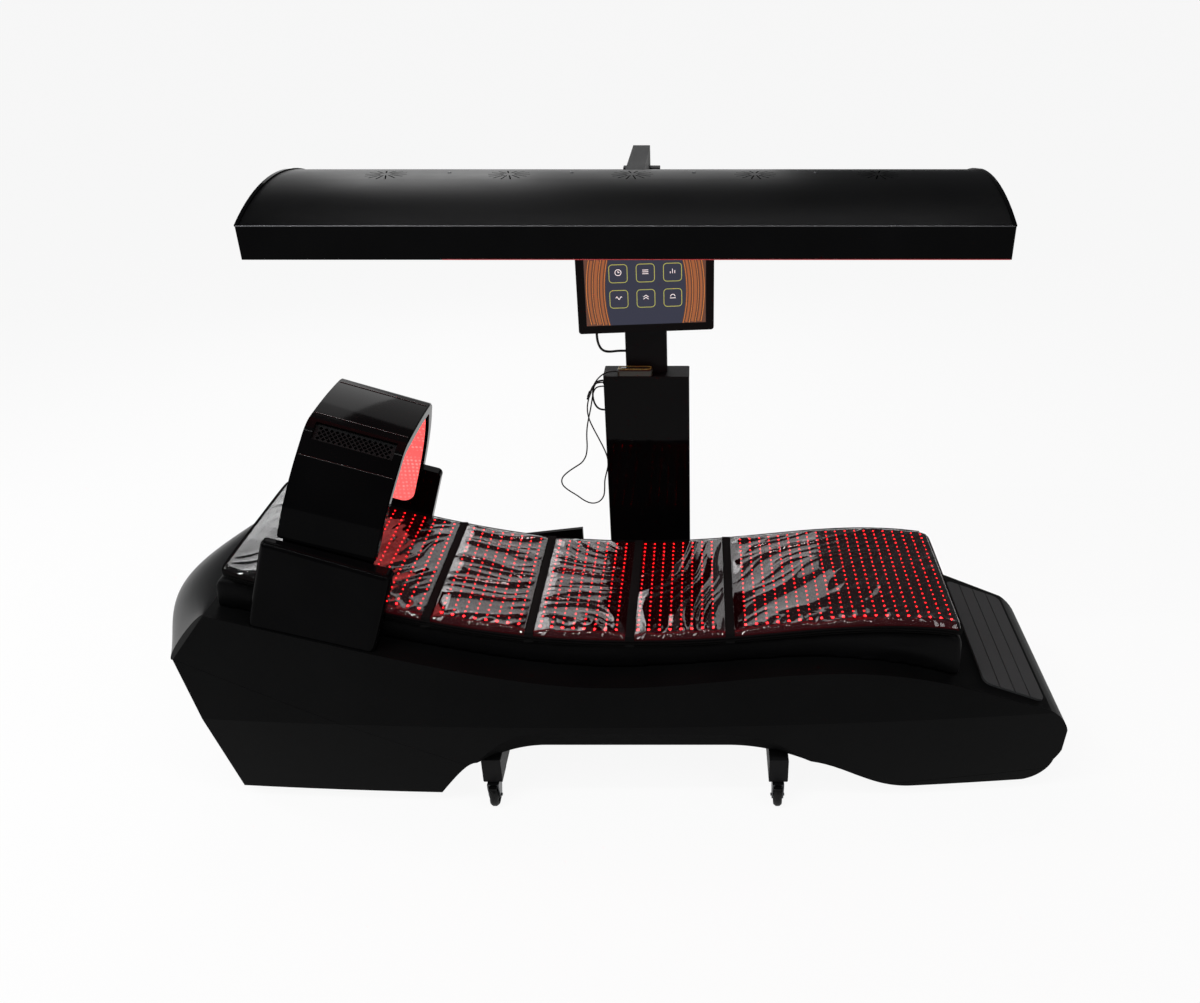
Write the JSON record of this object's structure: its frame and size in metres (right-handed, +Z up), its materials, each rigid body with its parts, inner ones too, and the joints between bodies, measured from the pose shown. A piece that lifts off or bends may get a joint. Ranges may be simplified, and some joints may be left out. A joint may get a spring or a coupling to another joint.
{
  "type": "red light therapy bed",
  "caption": "Boat-shaped lounger with a lamp mat, a tilting face hood, and a column with a screen and a canopy lamp on a lifting mast.",
  "frame": {"origin": "on the floor under the middle of the bounding box", "axes": "+X from head to foot, +Y to the column side, +Z up"},
  "size_m": [2.4061, 0.7654, 1.6288],
  "materials": {
    "shell_satin_black": "satin fine grain",
    "gloss_black": "gloss",
    "step_rubber": "matte",
    "cushion_leatherette": "satin",
    "clear_mat_red": "gloss",
    "strap_webbing": "matte",
    "frame_black": "powder coat",
    "black_plastic": "matte",
    "castor_steel": "brushed",
    "castor_rubber": "matte",
    "liner_red": "satin",
    "grille_black": "satin",
    "column_black": "gloss",
    "mast_black": "satin",
    "bearing_nylon": "matte",
    "actuator_alloy": "satin",
    "rod_chrome": "polished",
    "lamp_board": "satin",
    "lamp_diffuser": "satin",
    "screen_black": "satin",
    "screen_pane": "gloss",
    "handset_olive": "satin",
    "lead_black": "satin"
  },
  "bodies": {
    "base": {"bed_shell": "shell_satin_black", "head_end_cap": "shell_satin_black", "head_base_cover": "shell_satin_black", "foot_skirt": "shell_satin_black", "foot_plate": "step_rubber", "base_cushion": "cushion_leatherette", "led_mat": "clear_mat_red", "mat_straps": "strap_webbing", "rear_cable_cover": "gloss_black", "chassis_frame": "frame_black", "power_supply": "black_plastic", "cross_beam_head": "frame_black", "cross_beam_foot": "frame_black", "castor_plates": "castor_steel", "pod_front": "gloss_black", "pod_rear": "gloss_black", "hinge_bushes": "bearing_nylon", "column_base_plate": "column_black", "column_housing": "column_black", "column_top_cap": "gloss_black", "column_bracket": "frame_black", "mast_sleeve": "column_black", "mast_guides": "bearing_nylon", "lift_actuator": "actuator_alloy", "screen_bracket": "frame_black", "handset": "handset_olive", "handset_lead": "lead_black", "side_lead": "lead_black", "pigtail_lead": "lead_black", "pigtail_plug": "lead_black", "screen_cable": "lead_black", "cable_grommets": "lead_black"},
    "lift": {"lift_mast": "mast_black", "actuator_rod": "rod_chrome", "canopy_arm": "mast_black", "canopy_hanger": "mast_black", "canopy_frame": "column_black", "canopy_cover": "gloss_black", "canopy_end_caps": "gloss_black", "canopy_led_board": "lamp_board", "canopy_diffuser": "lamp_diffuser", "canopy_fans": "black_plastic"},
    "hood": {"hood_shell": "gloss_black", "hood_liner": "liner_red", "hood_grilles": "grille_black", "hood_pins": "castor_steel"},
    "screen_yoke": {"screen_yoke": "frame_black"},
    "screen": {"screen_housing": "screen_black", "screen_glass": "screen_pane"},
    "castor_fork_head_front": {"castor_fork_head_front": "castor_steel"},
    "castor_wheel_head_front": {"castor_wheel_head_front": "castor_rubber"},
    "brake_pedal_head_front": {"brake_pedal_head_front": "black_plastic"},
    "castor_fork_head_rear": {"castor_fork_head_rear": "castor_steel"},
    "castor_wheel_head_rear": {"castor_wheel_head_rear": "castor_rubber"},
    "castor_fork_foot_front": {"castor_fork_foot_front": "castor_steel"},
    "castor_wheel_foot_front": {"castor_wheel_foot_front": "castor_rubber"},
    "brake_pedal_foot_front": {"brake_pedal_foot_front": "black_plastic"},
    "castor_fork_foot_rear": {"castor_fork_foot_rear": "castor_steel"},
    "castor_wheel_foot_rear": {"castor_wheel_foot_rear": "castor_rubber"}
  },
  "joints": [
    {"name": "canopy_lift", "type": "slide", "parent": "base", "child": "lift", "axis": [0, 0, 1], "range_m": [-0.1, 0.15]},
    {"name": "hood_tilt", "type": "hinge", "parent": "base", "child": "hood", "pos_m": [-0.77191, -0.0525, 0.74892], "axis": [0, -1, 0], "range_deg": [0, 70]},
    {"name": "screen_swivel", "type": "hinge", "parent": "base", "child": "screen_yoke", "pos_m": [0.061, 0.312, 1.2685], "axis": [0, 0, 1], "range_deg": [-25, 25], "deforming": ["screen_cable"]},
    {"name": "screen_tilt", "type": "hinge", "parent": "screen_yoke", "child": "screen", "pos_m": [0.06468, 0.27921, 1.2685], "axis": [0.9938, 0.1115, 0], "range_deg": [-15, 15], "deforming": ["screen_cable"]},
    {"name": "castor_swivel_head_front", "type": "hinge", "parent": "base", "child": "castor_fork_head_front", "pos_m": [-0.346, -0.3205, 0.0835], "axis": [0, 0, 1], "continuous": true},
    {"name": "castor_roll_head_front", "type": "hinge", "parent": "castor_fork_head_front", "child": "castor_wheel_head_front", "pos_m": [-0.346, -0.3425, 0.0315], "axis": [1, 0, 0], "continuous": true},
    {"name": "brake_head_front", "type": "hinge", "parent": "castor_fork_head_front", "child": "brake_pedal_head_front", "pos_m": [-0.346, -0.3555, 0.0739], "axis": [1, 0, 0], "range_deg": [0, 15]},
    {"name": "castor_swivel_head_rear", "type": "hinge", "parent": "base", "child": "castor_fork_head_rear", "pos_m": [-0.346, 0.2155, 0.0835], "axis": [0, 0, 1], "continuous": true},
    {"name": "castor_roll_head_rear", "type": "hinge", "parent": "castor_fork_head_rear", "child": "castor_wheel_head_rear", "pos_m": [-0.346, 0.2375, 0.0315], "axis": [1, 0, 0], "continuous": true},
    {"name": "castor_swivel_foot_front", "type": "hinge", "parent": "base", "child": "castor_fork_foot_front", "pos_m": [0.426, -0.3205, 0.0835], "axis": [0, 0, 1], "continuous": true},
    {"name": "castor_roll_foot_front", "type": "hinge", "parent": "castor_fork_foot_front", "child": "castor_wheel_foot_front", "pos_m": [0.426, -0.3425, 0.0315], "axis": [1, 0, 0], "continuous": true},
    {"name": "brake_foot_front", "type": "hinge", "parent": "castor_fork_foot_front", "child": "brake_pedal_foot_front", "pos_m": [0.426, -0.3555, 0.0739], "axis": [1, 0, 0], "range_deg": [0, 15]},
    {"name": "castor_swivel_foot_rear", "type": "hinge", "parent": "base", "child": "castor_fork_foot_rear", "pos_m": [0.426, 0.2155, 0.0835], "axis": [0, 0, 1], "continuous": true},
    {"name": "castor_roll_foot_rear", "type": "hinge", "parent": "castor_fork_foot_rear", "child": "castor_wheel_foot_rear", "pos_m": [0.426, 0.2375, 0.0315], "axis": [1, 0, 0], "continuous": true}
  ]
}
